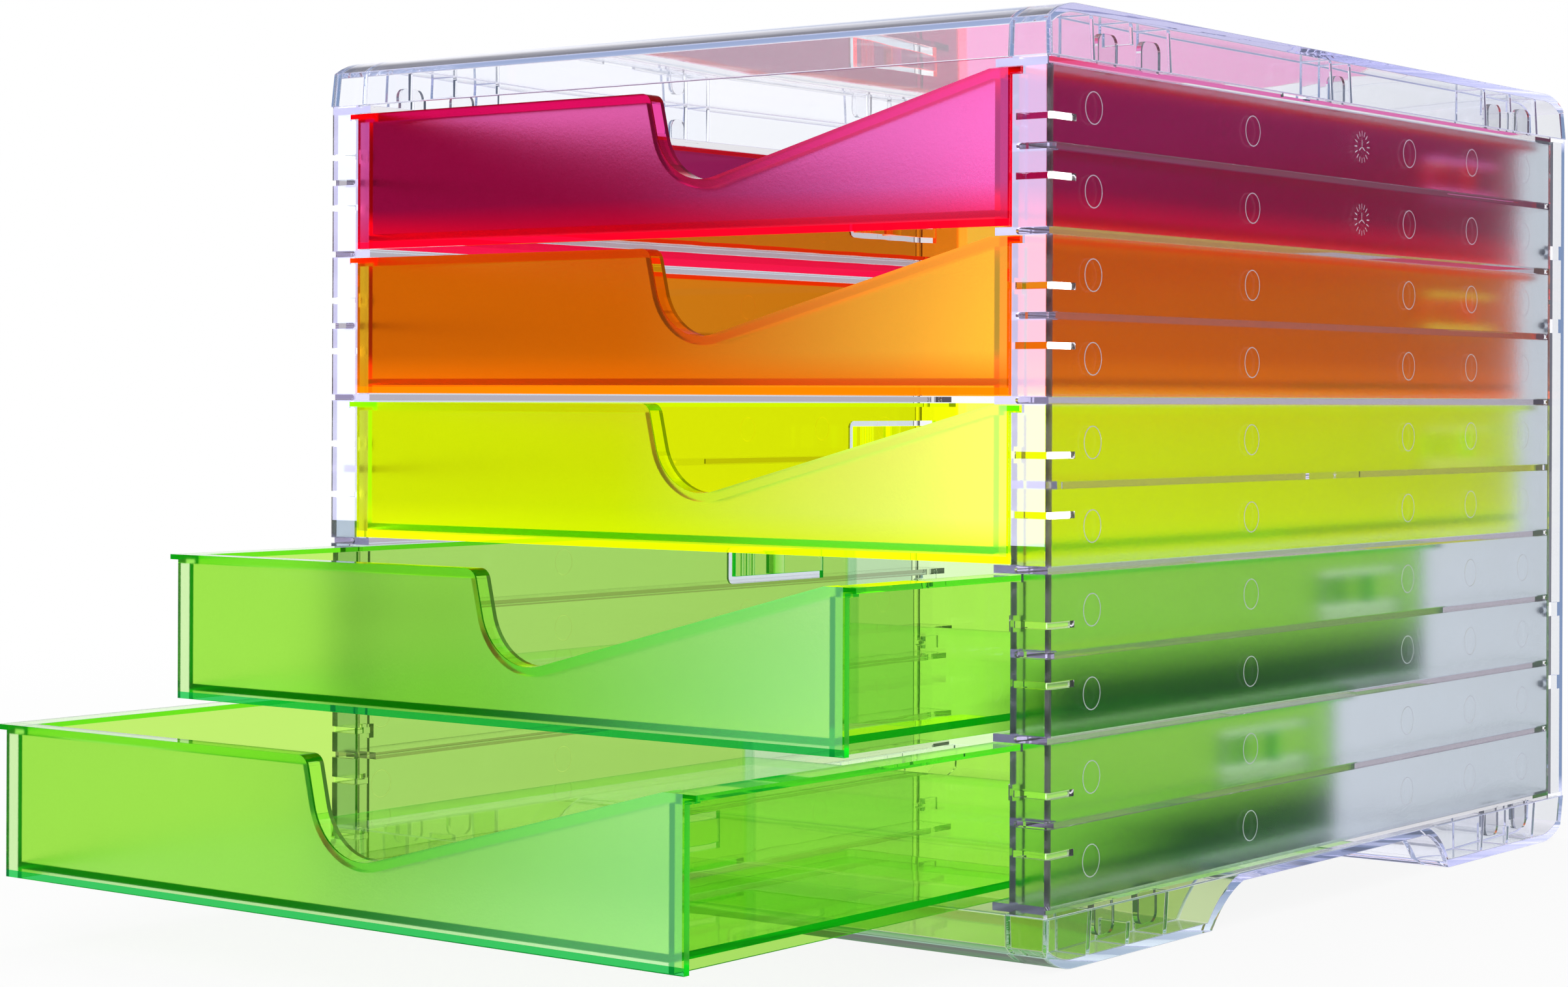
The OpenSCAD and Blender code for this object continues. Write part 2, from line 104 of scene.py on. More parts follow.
# The absorption colour stays just above black for the light that the dye takes most of.
DYE_MARGIN = 1.02
GRAIN_SCALE = 1100
NOISE_ROUGHNESS = 0.6
FACE_GRAIN = {"Grain_Scale": GRAIN_SCALE, "Wave_Scale": 45, "Wave_Share": 0.35}
FACE_RELIEF = {"Strength": 0.3, "Distance": 0.1 * MM}
CLOUD_SHARE = 0.25
CLOUD_GREY = (0.45, 0.45, 0.45)
POLISHED = 0.0
DRAWER_FROST = 0.32
SIDE_FROST = 0.25
# Along the piece's X, where the painted light on a frosted front grows from none to full.
FIELD_LIT = (-0.02, 0.13)
MARK_GRAIN = {"Frost": 1, "Grain_Scale": GRAIN_SCALE, "Wave_Scale": 200, "Wave_Share": 0.5}
MARK_RELIEF = {"Strength": 0.2, "Distance": 0.05 * MM}
MARK_TINTS = ((0.86, 0.86, 0.88), (0.72, 0.72, 0.74))
MARK_ROUGHNESS = 0.2


def absorb(material, per_mm):
    """Colours the light by the length of plastic it passes, per_mm for red, green and blue."""
    tree = material.node_tree
    volume = add_node(tree, "ShaderNodeVolumeAbsorption")
    density = DYE_MARGIN * max(per_mm) / MM
    volume.inputs["Color"].default_value = (*[1 - a / MM / density for a in per_mm], 1)
    volume.inputs["Density"].default_value = density
    tree.links.new(volume.outputs["Volume"], tree.nodes["Material Output"].inputs["Volume"])


def new_group(name, inputs, outputs):
    """An empty shader node group; inputs and outputs give each socket's name and kind."""
    group = bpy.data.node_groups.new(name, "ShaderNodeTree")
    for label, kind in inputs.items():
        group.interface.new_socket(label, in_out="INPUT", socket_type="NodeSocket" + kind)
    for label, kind in outputs.items():
        group.interface.new_socket(label, in_out="OUTPUT", socket_type="NodeSocket" + kind)
    return group, group.nodes.new("NodeGroupInput").outputs, group.nodes.new("NodeGroupOutput").inputs


def math_node(tree, operation, first, second):
    node = add_node(tree, "ShaderNodeMath", operation=operation)
    for socket, value in zip(node.inputs, (first, second)):
        if isinstance(value, (int, float)):
            socket.default_value = value
        else:
            tree.links.new(value, socket)
    return node.outputs[0]


def mix_colours(tree, share, first, second):
    node = add_node(tree, "ShaderNodeMix", data_type="RGBA")
    for socket, value in zip((node.inputs[0], node.inputs[6], node.inputs[7]), (share, first, second)):
        if isinstance(value, tuple):
            socket.default_value = (*value, 1)
        else:
            tree.links.new(value, socket)
    return node.outputs[2]


def make_grain_group():
    """Spark-eroded grain of the frosted faces, with faint cloudiness and slow waves in the polish."""
    tree, given, made = new_group(
        "moulded_grain",
        {"Frost": "Float", "Grain Scale": "Float", "Wave Scale": "Float", "Wave Share": "Float"},
        {"Height": "Float", "Cloud": "Float"})
    place = add_node(tree, "ShaderNodeTexCoord").outputs["Object"]
    noises = []
    for scale, detail in (("Grain Scale", 2), ("Wave Scale", 1)):
        noise = add_node(tree, "ShaderNodeTexNoise")
        set_inputs(noise, Detail=detail, Roughness=NOISE_ROUGHNESS)
        tree.links.new(place, noise.inputs["Vector"])
        tree.links.new(given[scale], noise.inputs["Scale"])
        noises.append(noise.outputs["Fac"])
    grain, wave = noises
    grained = math_node(tree, "MULTIPLY", grain, given["Frost"])
    waved = math_node(tree, "MULTIPLY", wave, given["Wave Share"])
    tree.links.new(math_node(tree, "ADD", grained, waved), made["Height"])
    cloud = math_node(tree, "MULTIPLY", math_node(tree, "ADD", grain, wave), 0.5)
    tree.links.new(math_node(tree, "MULTIPLY", cloud, given["Frost"]), made["Cloud"])
    return tree


def raise_surface(tree, shader, height, relief):
    bump = add_node(tree, "ShaderNodeBump")
    set_inputs(bump, **relief)
    tree.links.new(height, bump.inputs["Height"])
    tree.links.new(bump.outputs["Normal"], shader.inputs["Normal"])


def make_plastic(name, grain, look, frost):
    """See-through plastic; frost is the roughness of its frosted faces. A piece's attributes tell its
    finish, from 0 to 1: frost for spark-eroded faces; wall for painted shade and light, a darker
    colour and a faint glow on the drawers' side walls and a crimson drawer's floor, a painted glow on
    a side panel's post and painted green light on the front foot; low for a band of painted light, or
    on a green drawer painted shade, along a drawer's bottom; and edge for painted light at edges, a
    deeper colour and a glow, which on the side panels is dark, painted shade along their edges and
    grooves."""
    material, tree, shader = new_material(name)
    shader.distribution = "GGX"
    shader.inputs["IOR"].default_value = PLASTIC_IOR
    shader.inputs["Specular Tint"].default_value = (*[FACE_REFLECTION] * 3, 1)
    shader.inputs["Transmission Weight"].default_value = 1
    shader.inputs["Emission Strength"].default_value = 1
    absorb(material, look["dye"])
    frosted, wall, edge, low = [
        add_node(tree, "ShaderNodeAttribute", attribute_name=mask).outputs["Fac"]
        for mask in ("frost", "wall", "edge", "low")]
    marks = add_node(tree, "ShaderNodeGroup", node_tree=grain)
    set_inputs(marks, **FACE_GRAIN)
    tree.links.new(frosted, marks.inputs["Frost"])
    # Painted shade and light: a darker colour on the drawers' side walls and a crimson drawer's floor,
    # and painted green light on the front foot.
    colour = mix_colours(tree, wall, look["polished"], look["wall"])
    colour = mix_colours(tree, frosted, colour, look["frosted"])
    cloudy = math_node(tree, "MULTIPLY", marks.outputs["Cloud"], CLOUD_SHARE)
    colour = mix_colours(tree, cloudy, colour, CLOUD_GREY)
    # Painted light or shade in the band along a drawer's bottom.
    colour = mix_colours(tree, low, colour, look.get("low", look["wall"]))
    colour = mix_colours(tree, edge, colour, look["rim"])
    tree.links.new(colour, shader.inputs["Base Color"])
    # Painted light: the frosted field of a front glows more towards its right end, where the light
    # falls.
    place = add_node(tree, "ShaderNodeTexCoord")
    across = add_node(tree, "ShaderNodeSeparateXYZ")
    lit = add_node(tree, "ShaderNodeMapRange", interpolation_type="SMOOTHSTEP")
    set_inputs(lit, From_Min=FIELD_LIT[0], From_Max=FIELD_LIT[1])
    tree.links.new(place.outputs["Object"], across.inputs[0])
    tree.links.new(across.outputs["X"], lit.inputs["Value"])
    field_share = math_node(tree, "MULTIPLY", frosted, lit.outputs["Result"])
    # Painted light: a glow that no lamp gives, at every face, stronger on the lit end of a frosted
    # front, on the side walls, the post and the foot, in the bottom band and at the edges.
    glow = mix_colours(tree, field_share, look["painted_glow"], look["field"])
    glow = mix_colours(tree, wall, glow, look["wall_glow"])
    glow = mix_colours(tree, low, glow, look.get("low_glow", look["painted_glow"]))
    glow = mix_colours(tree, edge, glow, look["glow"])
    tree.links.new(glow, shader.inputs["Emission Color"])
    rough = add_node(tree, "ShaderNodeMapRange")
    set_inputs(rough, To_Min=POLISHED, To_Max=frost)
    tree.links.new(frosted, rough.inputs["Value"])
    tree.links.new(rough.outputs["Result"], shader.inputs["Roughness"])
    raise_surface(tree, shader, marks.outputs["Height"], FACE_RELIEF)
    return material


# dye is what each mm of plastic takes of red, green and blue. The other colours are of faces: plain
# polished ones, side walls painted darker as shade (and the front foot painted green with light),
# frosted ones, rims, whose deeper colour is painted edge light (dark on the side panels, painted
# shade), and the band along a drawer's bottom (low), painted light or shade; then painted light, a
# glow that no lamp gives, at any face, at side walls, on a side panel's post and the front foot, on
# the lit end of a front (field), at the edges (glow) and in the bottom band.
CLEAR_DYE = (0.0016, 0.0018, 0.0008)
CLEAR_POLISHED = (0.996, 0.996, 1.0)
DARK = (0.0, 0.0, 0.0)
LOOKS = {
    "crimson": {"dye": (0.002, 0.80, 0.28), "polished": (0.97, 0.93, 0.95), "wall": (0.39, 0.07, 0.19),
                "frosted": (0.99, 0.97, 0.97), "rim": (0.90, 0.01, 0.04), "painted_glow": (0.012, 0.0, 0.001),
                "wall_glow": (0.012, 0.0, 0.001), "field": (0.22, 0.06, 0.22),
                "glow": (0.62, 0.0, 0.02), "low": (0.80, 0.06, 0.14), "low_glow": (0.18, 0.0, 0.01)},
    "orange": {"dye": (0.002, 0.23, 1.6), "polished": (0.98, 0.96, 0.93), "wall": (0.90, 0.42, 0.22),
               "frosted": (1.0, 0.98, 0.90), "rim": (0.98, 0.20, 0.005), "painted_glow": (0.042, 0.015, 0.0),
               "wall_glow": (0.012, 0.003, 0.0), "field": (0.28, 0.30, 0.04),
               "glow": (0.65, 0.18, 0.0), "low": (0.95, 0.55, 0.12), "low_glow": (0.14, 0.06, 0.0)},
    "lime": {"dye": (0.022, 0.002, 1.1), "polished": (0.99, 1.0, 0.95), "wall": (0.98, 1.0, 0.02),
             "frosted": (1.0, 1.0, 0.90), "rim": (0.88, 0.98, 0.02), "painted_glow": (0.025, 0.046, 0.0),
             "wall_glow": (0.05, 0.05, 0.0), "field": (0.25, 0.20, 0.16),
             "glow": (0.42, 0.50, 0.0), "low": (0.95, 1.0, 0.06), "low_glow": (0.10, 0.10, 0.0)},
    "green": {"dye": (0.13, 0.003, 0.29), "polished": (0.99, 1.0, 0.95), "wall": (0.74, 0.90, 0.30),
              "frosted": (0.98, 1.0, 1.0), "rim": (0.006, 0.32, 0.06), "painted_glow": (0.001, 0.012, 0.0),
              "wall_glow": (0.0, 0.012, 0.0), "field": (0.10, 0.18, 0.14),
              "glow": (0.0, 0.10, 0.03), "low": (0.01, 0.09, 0.01), "low_glow": (0.0, 0.01, 0.0)},
    "clear": {"dye": CLEAR_DYE, "polished": CLEAR_POLISHED, "wall": (0.70, 0.82, 0.42),
              "frosted": (0.85, 0.88, 0.92), "rim": (0.78, 0.77, 0.84), "painted_glow": (0.010, 0.014, 0.022),
              "wall_glow": (0.0, 0.012, 0.0), "field": DARK, "glow": (0.13, 0.125, 0.15)},
    "frosted_clear": {"dye": CLEAR_DYE, "polished": CLEAR_POLISHED, "wall": (0.95, 0.95, 0.95),
                      "frosted": (0.56, 0.68, 0.82), "rim": (0.26, 0.24, 0.28), "painted_glow": DARK,
                      "wall_glow": (0.52, 0.50, 0.74), "field": DARK, "glow": (0.05, 0.045, 0.06)},
}
# Painted light on the small marks on the side panels, a glow that no lamp gives: the webs in the
# slots beside the closed drawers are painted lit, those beside the open ones dim and green.
MARK_LIGHT = {"mark_lines": (0.20, 0.19, 0.20), "closed_webs": (0.78, 0.77, 0.73),
              "open_webs": (0.08, 0.12, 0.05)}
DRAWER_DYES = {1: "crimson", 2: "orange", 3: "lime", 4: "green", 5: "green"}


def make_mark_plastic(name, grain, light):
    """Clear plastic of a raised mark, which shows by a painted glow in place of the light that it
    catches.
    """
    material, tree, shader = new_material(name)
    set_inputs(shader, IOR=PLASTIC_IOR, Transmission_Weight=1, Emission_Color=(*light, 1),
               Emission_Strength=1)
    absorb(material, CLEAR_DYE)
    marks = add_node(tree, "ShaderNodeGroup", node_tree=grain)
    set_inputs(marks, **MARK_GRAIN)
    colour = mix_colours(tree, marks.outputs["Cloud"], *MARK_TINTS)
    rough = math_node(tree, "MULTIPLY", marks.outputs["Cloud"], MARK_ROUGHNESS)
    tree.links.new(colour, shader.inputs["Base Color"])
    tree.links.new(rough, shader.inputs["Roughness"])
    raise_surface(tree, shader, marks.outputs["Height"], MARK_RELIEF)
    return material


def make_materials():
    grain = make_grain_group()
    made = {dye: make_plastic(dye + "_plastic", grain, look,
                              frost=SIDE_FROST if dye == "frosted_clear" else DRAWER_FROST)
            for dye, look in LOOKS.items()}
    for name, light in MARK_LIGHT.items():
        made[name] = make_mark_plastic(name, grain, light)
    return made


# ---- mouldings: a CAD node's shape with rounded edges and frosted fields

FLAT_ANGLE = math.radians(0.6)
EDGE_ANGLE = math.radians(28)
SMOOTH_ANGLE = math.radians(50)
WELD = 0.003 * MM
THIN_END = 3.3 * MM
THIN_END_LENGTH = 8 * MM
THIN_END_GLOW = 0.35
FACING = 0.99
ROUGHLY_FACING = 0.95
LEVEL = 0.9
UPRIGHT = 0.1
CASE_EDGE = 0.25 * MM
DRAWER_EDGE = 0.3 * MM
TONGUE_EDGE = 0.15 * MM
FLUSH = 0.2 * MM
SIDE_WALL_REACH = 9 * MM
FLOOR_REACH = 4 * MM
WIDE_FACE = 400 * MM * MM
# Painted light and shade along a drawer's bottom: the heights of the lit band, of the dark band on a
# green drawer, where the dark band starts behind the front, and their strengths.
LOW_BAND = (3 * MM, 12 * MM)
DARK_BAND = (8 * MM, 22 * MM)
DARK_STARTS = {4: (60 * MM, 110 * MM), 5: (150 * MM, 240 * MM)}
LOW_LEVEL = (0.8, 0.95)
FIELD_SIDE = 4 * MM
FIELD_BOTTOM = 2 * MM
BOTTOM_STRIP_GLOW = 1.0
FOOT_TOP = 17 * MM
FRONT_FOOT_END = 70 * MM
CLOSED_DRAWERS = 114 * MM
GROOVE_SUNK = (1.1 * MM, 1.3 * MM)
POST_DEPTH = 15 * MM
POST_EDGE_GLOW = 0.12


def sharp_edges(bm):
    return [e for e in bm.edges if len(e.link_faces) == 2 and e.calc_face_angle() > EDGE_ANGLE]


def merged_copy(node):
    bm = bmesh.new()
    bm.from_mesh(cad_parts[node].data)
    bmesh.ops.remove_doubles(bm, verts=bm.verts, dist=WELD)
    bmesh.ops.dissolve_limit(bm, angle_limit=FLAT_ANGLE, verts=bm.verts, edges=bm.edges)
    return bm


def bake_modifiers(piece):
    """Turns what the piece's modifiers make into its plain mesh."""
    seen_by = bpy.context.evaluated_depsgraph_get()
    made = bpy.data.meshes.new_from_object(
        piece.evaluated_get(seen_by), preserve_all_data_layers=True, depsgraph=seen_by)
    piece.modifiers.clear()
    made.name = piece.name
    piece.data = made


def is_thin_end(face):
    """Picks the narrow end faces of walls and ribs, where light piped along the plastic comes out."""
    length = max(e.calc_length() for e in face.edges)
    return length > THIN_END_LENGTH and face.calc_area() < THIN_END * length


def cut_faces(bm, cuts):
    """Cuts the faces that each cut picks along its plane, given by a point and a normal."""
    for picked, point, normal in cuts:
        faces = [f for f in bm.faces if picked(f)]
        edges = {e for f in faces for e in f.edges}
        verts = {v for f in faces for v in f.verts}
        bmesh.ops.bisect_plane(bm, geom=[*faces, *edges, *verts], dist=WELD,
                               plane_co=point, plane_no=normal)


def moulding(node, body, slot, material, edge_radius, cuts=(), low=None, **marks):
    """A copy of a CAD node with rounded edges. Each mark is a function that gives a face's value of
    that attribute: frost, wall or edge. low gives a vertex's."""
    bm = merged_copy(node)
    layers = {mask: bm.faces.layers.float.new(mask) for mask in ("frost", "wall", "edge")}
    rounded = bmesh.ops.bevel(bm, geom=sharp_edges(bm), offset=edge_radius, offset_type="OFFSET",
                              segments=2, profile=0.5, affect="EDGES", clamp_overlap=True)
    # Painted light: the rounded edges get the whole edge mask, and the narrow end faces a part of it,
    # for a deeper colour and a glow in place of the light the plastic pipes there.
    for face in rounded["faces"]:
        face[layers["edge"]] = 1
    bm.normal_update()
    for face in bm.faces:
        if not face[layers["edge"]]:
            face[layers["edge"]] = THIN_END_GLOW * is_thin_end(face)
    cut_faces(bm, cuts)
    low_layer = bm.verts.layers.float.new("low")
    for vertex in bm.verts:
        vertex[low_layer] = low(vertex) if low else 0
    for mask, value in marks.items():
        for face in bm.faces:
            if value(face):
                face[layers[mask]] = value(face)
    mesh = bpy.data.meshes.new(node + "_moulding")
    bm.to_mesh(mesh)
    bm.free()
    mesh.materials.append(material)
    mesh.shade_smooth()
    mesh.set_sharp_from_angle(angle=SMOOTH_ANGLE)
    piece = bpy.data.objects.new(node + "_moulding", mesh)
    bpy.context.scene.collection.objects.link(piece)
    weighted = piece.modifiers.new("flat faces stay flat", "WEIGHTED_NORMAL")
    weighted.keep_sharp = True
    bake_modifiers(piece)
    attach(piece, body)
    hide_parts(node)
    return piece


def flat_front(node):
    """Picks the flat front of a drawer or of a side panel's post."""
    front_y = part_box(node)[0].y
    return lambda face: face.normal.y < -FACING and face.calc_center_median().y < front_y + FLUSH


def drawer_marks(node):
    """A drawer's front is frosted inside a polished border; its bottom edge gets a painted glow, its
    side walls and a crimson drawer's floor get painted shade, and a band runs along its bottom:
    painted shade on the right side of a green drawer, painted light on the others."""
    low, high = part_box(node)
    front = flat_front(node)
    outer = max(abs(low.x), abs(high.x))
    half = outer - FIELD_SIDE
    bottom = low.z + FIELD_BOTTOM

    def frost(face):
        middle = face.calc_center_median()
        return float(front(face) and abs(middle.x) < half and middle.z > bottom)

    # Painted shade: side walls, and a crimson drawer's floor, are darker.
    def wall(face):
        middle = face.calc_center_median()
        is_side = abs(face.normal.x) > ROUGHLY_FACING and abs(middle.x) > outer - SIDE_WALL_REACH
        is_floor = abs(face.normal.z) > ROUGHLY_FACING and middle.z < low.z + FLOOR_REACH
        return float(is_side or (is_floor and is_crimson))

    # Painted glow along the strip under the frosted field.
    def edge(face):
        return BOTTOM_STRIP_GLOW * (front(face) and face.calc_center_median().z < bottom)

    # Painted light in a band along the bottom.
    def painted_light_band(vertex):
        upright = not on_floor(vertex)
        return LOW_LEVEL[0] * upright * fade_out(vertex.co.z - low.z, *LOW_BAND)

    # Painted shade in a band along the bottom of the right side, behind the front.
    def painted_shade_band(vertex):
        side = vertex.co.x > outer - SIDE_WALL_REACH and not on_floor(vertex)
        behind = 1 - fade_out(vertex.co.y - low.y, *dark_start)
        return LOW_LEVEL[1] * side * behind * fade_out(vertex.co.z - low.z, *DARK_BAND)

    number = int(node.split("_")[1])
    is_green = DRAWER_DYES[number] == "green"
    is_crimson = DRAWER_DYES[number] == "crimson"
    dark_start = DARK_STARTS.get(number, (0, 0))
    heights = DARK_BAND if is_green else LOW_BAND
    cuts = [(front, (side * half, 0, 0), (1, 0, 0)) for side in (-1, 1)]
    cuts.append((front, (0, 0, bottom), (0, 0, 1)))
    cuts += [(wide_face, (0, 0, low.z + height), (0, 0, 1)) for height in heights]
    cuts += [(wide_face, (0, low.y + start, 0), (0, 1, 0)) for start in dark_start if is_green]
    return {"cuts": cuts, "frost": frost, "wall": wall, "edge": edge,
            "low": painted_shade_band if is_green else painted_light_band}


def on_floor(vertex):
    return any(abs(face.normal.z) > LEVEL for face in vertex.link_faces)


def wide_face(face):
    return abs(face.normal.z) < UPRIGHT and face.calc_area() > WIDE_FACE


def fade_out(height, full, none):
    """1 up to full, falling to 0 at none."""
    return min(1.0, max(0.0, (none - height) / (none - full)))


def side_marks(node):
    """A side panel's raised field and its post are frosted, and its long grooves get painted shade;
    painted light fills the post beside the drawers that are closed, and the post's narrow edges get a
    faint painted glow."""
    low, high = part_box(node)
    outer = max(abs(low.x), abs(high.x))
    post = flat_front(node)

    def frost(face):
        field = abs(face.normal.x) > FACING and abs(face.calc_center_median().x) > outer - FLUSH
        return float(field or post(face))

    def wall(face):
        return float(post(face) and face.calc_center_median().z > CLOSED_DRAWERS)

    def edge(face):
        middle = face.calc_center_median()
        sunk = outer - abs(middle.x)
        groove = abs(face.normal.x) > FACING and GROOVE_SUNK[0] < sunk < GROOVE_SUNK[1]
        post_edge = is_thin_end(face) and middle.y < low.y + POST_DEPTH
        return 1.0 if groove else POST_EDGE_GLOW * post_edge

    return {"cuts": [(post, (0, 0, CLOSED_DRAWERS), (0, 0, 1))],
            "frost": frost, "wall": wall, "edge": edge}


def front_foot(face):
    """Picks the front foot, where the green light that falls through the lowest drawer is painted on.
    """
    middle = face.calc_center_median()
    return float(middle.z < FOOT_TOP and middle.y < FRONT_FOOT_END)


def make_mouldings(materials):
    clear = materials["clear"]
    moulding("top_cover", "case", "case_clear", clear, CASE_EDGE)
    moulding("base", "case", "case_clear", clear, CASE_EDGE, wall=front_foot)
    moulding("back_panel", "case", "case_clear", clear, CASE_EDGE)
    for node in ("left_side", "right_side"):
        moulding(node, "case", "case_frosted", materials["frosted_clear"], CASE_EDGE,
                 **side_marks(node))
    for number in DRAWERS:
        node = f"drawer_{number}"
        dye = DRAWER_DYES[number]
        dyed = materials[dye]
        slot = "drawer_" + dye
        marks = drawer_marks(node)
        moulding(node, node, slot, dyed, DRAWER_EDGE, **marks)
        for side in ("left", "right"):
            tongue = f"{node}_{side}_tongue"
            moulding(tongue, tongue, slot, dyed, TONGUE_EDGE, wall=marks["wall"])


# ---- small marks that repeat on the side panels, made with Geometry Nodes

PITCH = 45.3 * MM
FIELD_X = 134.87 * MM
TOP_HALF_LEVEL = 232.175 * MM
RING_ROWS = 10
RING_STEPS = 20
RING_WIRE_SIDES = 3
TICK_SIDES = 4
WEB_SIDES = 12
RING_COLUMNS = [y * MM for y in (-30.7, 58.0, 161.0, 207.5, 249.0)]
CLOCK_PLACES = [(127.9 * MM, TOP_HALF_LEVEL - row * PITCH / 2) for row in range(2)]
GATE_PLACES = [(110.5 * MM, 130.25 * MM)]
SLOT_X = 133.7 * MM
SLOT_START = -51.6 * MM
TOP_BAY_MIDDLE = 220.85 * MM
SLOT_OFF = 8 * MM
SLOT_HEIGHTS = [TOP_BAY_MIDDLE - PITCH * bay + side * SLOT_OFF for bay in range(5) for side in (-1, 1)]


def new_marks_tree(name, sizes):
    """An empty tree that takes places as points, with named inputs for its sizes."""
    tree = bpy.data.node_groups.new(name, "GeometryNodeTree")
    tree.interface.new_socket("Geometry", in_out="INPUT", socket_type="NodeSocketGeometry")
    for label, kind in sizes.items():
        tree.interface.new_socket(label, in_out="INPUT", socket_type="NodeSocket" + kind)
    tree.interface.new_socket("Geometry", in_out="OUTPUT", socket_type="NodeSocketGeometry")
    return tree, tree.nodes.new("NodeGroupInput").outputs, tree.nodes.new("NodeGroupOutput").inputs


def finish_marks(tree, shape, given, made):
    """Puts the shape at each place, facing sideways, as plain smooth faces with the material."""
    placed = add_node(tree, "GeometryNodeInstanceOnPoints")
    real = add_node(tree, "GeometryNodeRealizeInstances")
    smooth = add_node(tree, "GeometryNodeSetShadeSmooth")
    dressed = add_node(tree, "GeometryNodeSetMaterial")
    tree.links.new(given["Geometry"], placed.inputs["Points"])
    tree.links.new(shape, placed.inputs["Instance"])
    tree.links.new(placed.outputs["Instances"], real.inputs["Geometry"])
    tree.links.new(real.outputs["Geometry"], smooth.inputs["Geometry"])
    tree.links.new(smooth.outputs["Geometry"], dressed.inputs["Geometry"])
    tree.links.new(given["Material"], dressed.inputs["Material"])
    tree.links.new(dressed.outputs["Geometry"], made["Geometry"])


def wire_along(tree, curve, thickness, sides):
    """A round wire along a curve, closed at its ends; thickness is its radius."""
    section = add_node(tree, "GeometryNodeCurvePrimitiveCircle")
    section.inputs["Resolution"].default_value = sides
    wire = add_node(tree, "GeometryNodeCurveToMesh")
    wire.inputs["Fill Caps"].default_value = True
    tree.links.new(thickness, section.inputs["Radius"])
    tree.links.new(curve, wire.inputs["Curve"])
    tree.links.new(section.outputs["Curve"], wire.inputs["Profile Curve"])
    return wire.outputs["Mesh"]


def make_ring_tree():
    """Witness rings of the ejector pins."""
    tree, given, made = new_marks_tree(
        "ejector_rings", {"Radius": "Float", "Wire": "Float", "Material": "Material"})
    ring = add_node(tree, "GeometryNodeCurvePrimitiveCircle")
    ring.inputs["Resolution"].default_value = RING_STEPS
    turned = add_node(tree, "GeometryNodeTransform")
    turned.inputs["Rotation"].default_value = (0, math.radians(90), 0)
    tree.links.new(given["Radius"], ring.inputs["Radius"])
    wire = wire_along(tree, ring.outputs["Curve"], given["Wire"], RING_WIRE_SIDES)
    tree.links.new(wire, turned.inputs["Geometry"])
    finish_marks(tree, turned.outputs["Geometry"], given, made)
    return tree


def make_tick_tree():
    """A ring of short ticks, as round a mould's date mark, or a star where they meet."""
    tree, given, made = new_marks_tree(
        "tick_rings", {"Inner": "Float", "Outer": "Float", "Wire": "Float", "Count": "Int",
                       "Material": "Material"})
    ends = []
    for reach in ("Inner", "Outer"):
        end = add_node(tree, "ShaderNodeCombineXYZ")
        tree.links.new(given[reach], end.inputs["Z"])
        ends.append(end.outputs[0])
    line = add_node(tree, "GeometryNodeCurvePrimitiveLine")
    tree.links.new(ends[0], line.inputs["Start"])
    tree.links.new(ends[1], line.inputs["End"])
    tick = wire_along(tree, line.outputs["Curve"], given["Wire"], TICK_SIDES)
    centre = add_node(tree, "GeometryNodeMeshLine")
    centre.inputs["Offset"].default_value = (0, 0, 0)
    tree.links.new(given["Count"], centre.inputs["Count"])
    index = add_node(tree, "GeometryNodeInputIndex").outputs[0]
    part = math_node(tree, "DIVIDE", index, given["Count"])
    angle = math_node(tree, "MULTIPLY", part, 2 * math.pi)
    turn = add_node(tree, "ShaderNodeCombineXYZ")
    tree.links.new(angle, turn.inputs["X"])
    ticks = add_node(tree, "GeometryNodeInstanceOnPoints")
    tree.links.new(centre.outputs["Mesh"], ticks.inputs["Points"])
    tree.links.new(tick, ticks.inputs["Instance"])
    tree.links.new(turn.outputs[0], ticks.inputs["Rotation"])
    finish_marks(tree, ticks.outputs["Instances"], given, made)
    return tree


def make_web_tree():
    """Thin webs left in the slots, with rounded edges."""
    tree, given, made = new_marks_tree(
        "slot_webs", {"Length": "Float", "Height": "Float", "Flatness": "Float",
                      "Material": "Material"})
    end = add_node(tree, "ShaderNodeCombineXYZ")
    tree.links.new(given["Length"], end.inputs["Y"])
    line = add_node(tree, "GeometryNodeCurvePrimitiveLine")
    tree.links.new(end.outputs[0], line.inputs["End"])
    half = math_node(tree, "MULTIPLY", given["Height"], 0.5)
    flat = add_node(tree, "GeometryNodeTransform")
    scale = add_node(tree, "ShaderNodeCombineXYZ")
    scale.inputs["Y"].default_value = 1
    scale.inputs["Z"].default_value = 1
    tree.links.new(given["Flatness"], scale.inputs["X"])
    tree.links.new(scale.outputs[0], flat.inputs["Scale"])
    web = wire_along(tree, line.outputs["Curve"], half, WEB_SIDES)
    tree.links.new(web, flat.inputs["Geometry"])
    finish_marks(tree, flat.outputs["Geometry"], given, made)
    return tree


def make_marks(name, tree, places, **sizes):
    """Runs a tree on the places and keeps what it makes as a plain mesh that rides on the case."""
    mesh = bpy.data.meshes.new(name)
    mesh.from_pydata(places, [], [])
    piece = bpy.data.objects.new(name, mesh)
    bpy.context.scene.collection.objects.link(piece)
    modifier = piece.modifiers.new("marks", "NODES")
    modifier.node_group = tree
    for socket in tree.interface.items_tree:
        if socket.in_out == "INPUT" and socket.name in sizes:
            modifier[socket.identifier] = sizes[socket.name]
    bake_modifiers(piece)
    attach(piece, "case")


def on_both_sides(x, places):
    return [(side * x, y, z) for side in (-1, 1) for y, z in places]


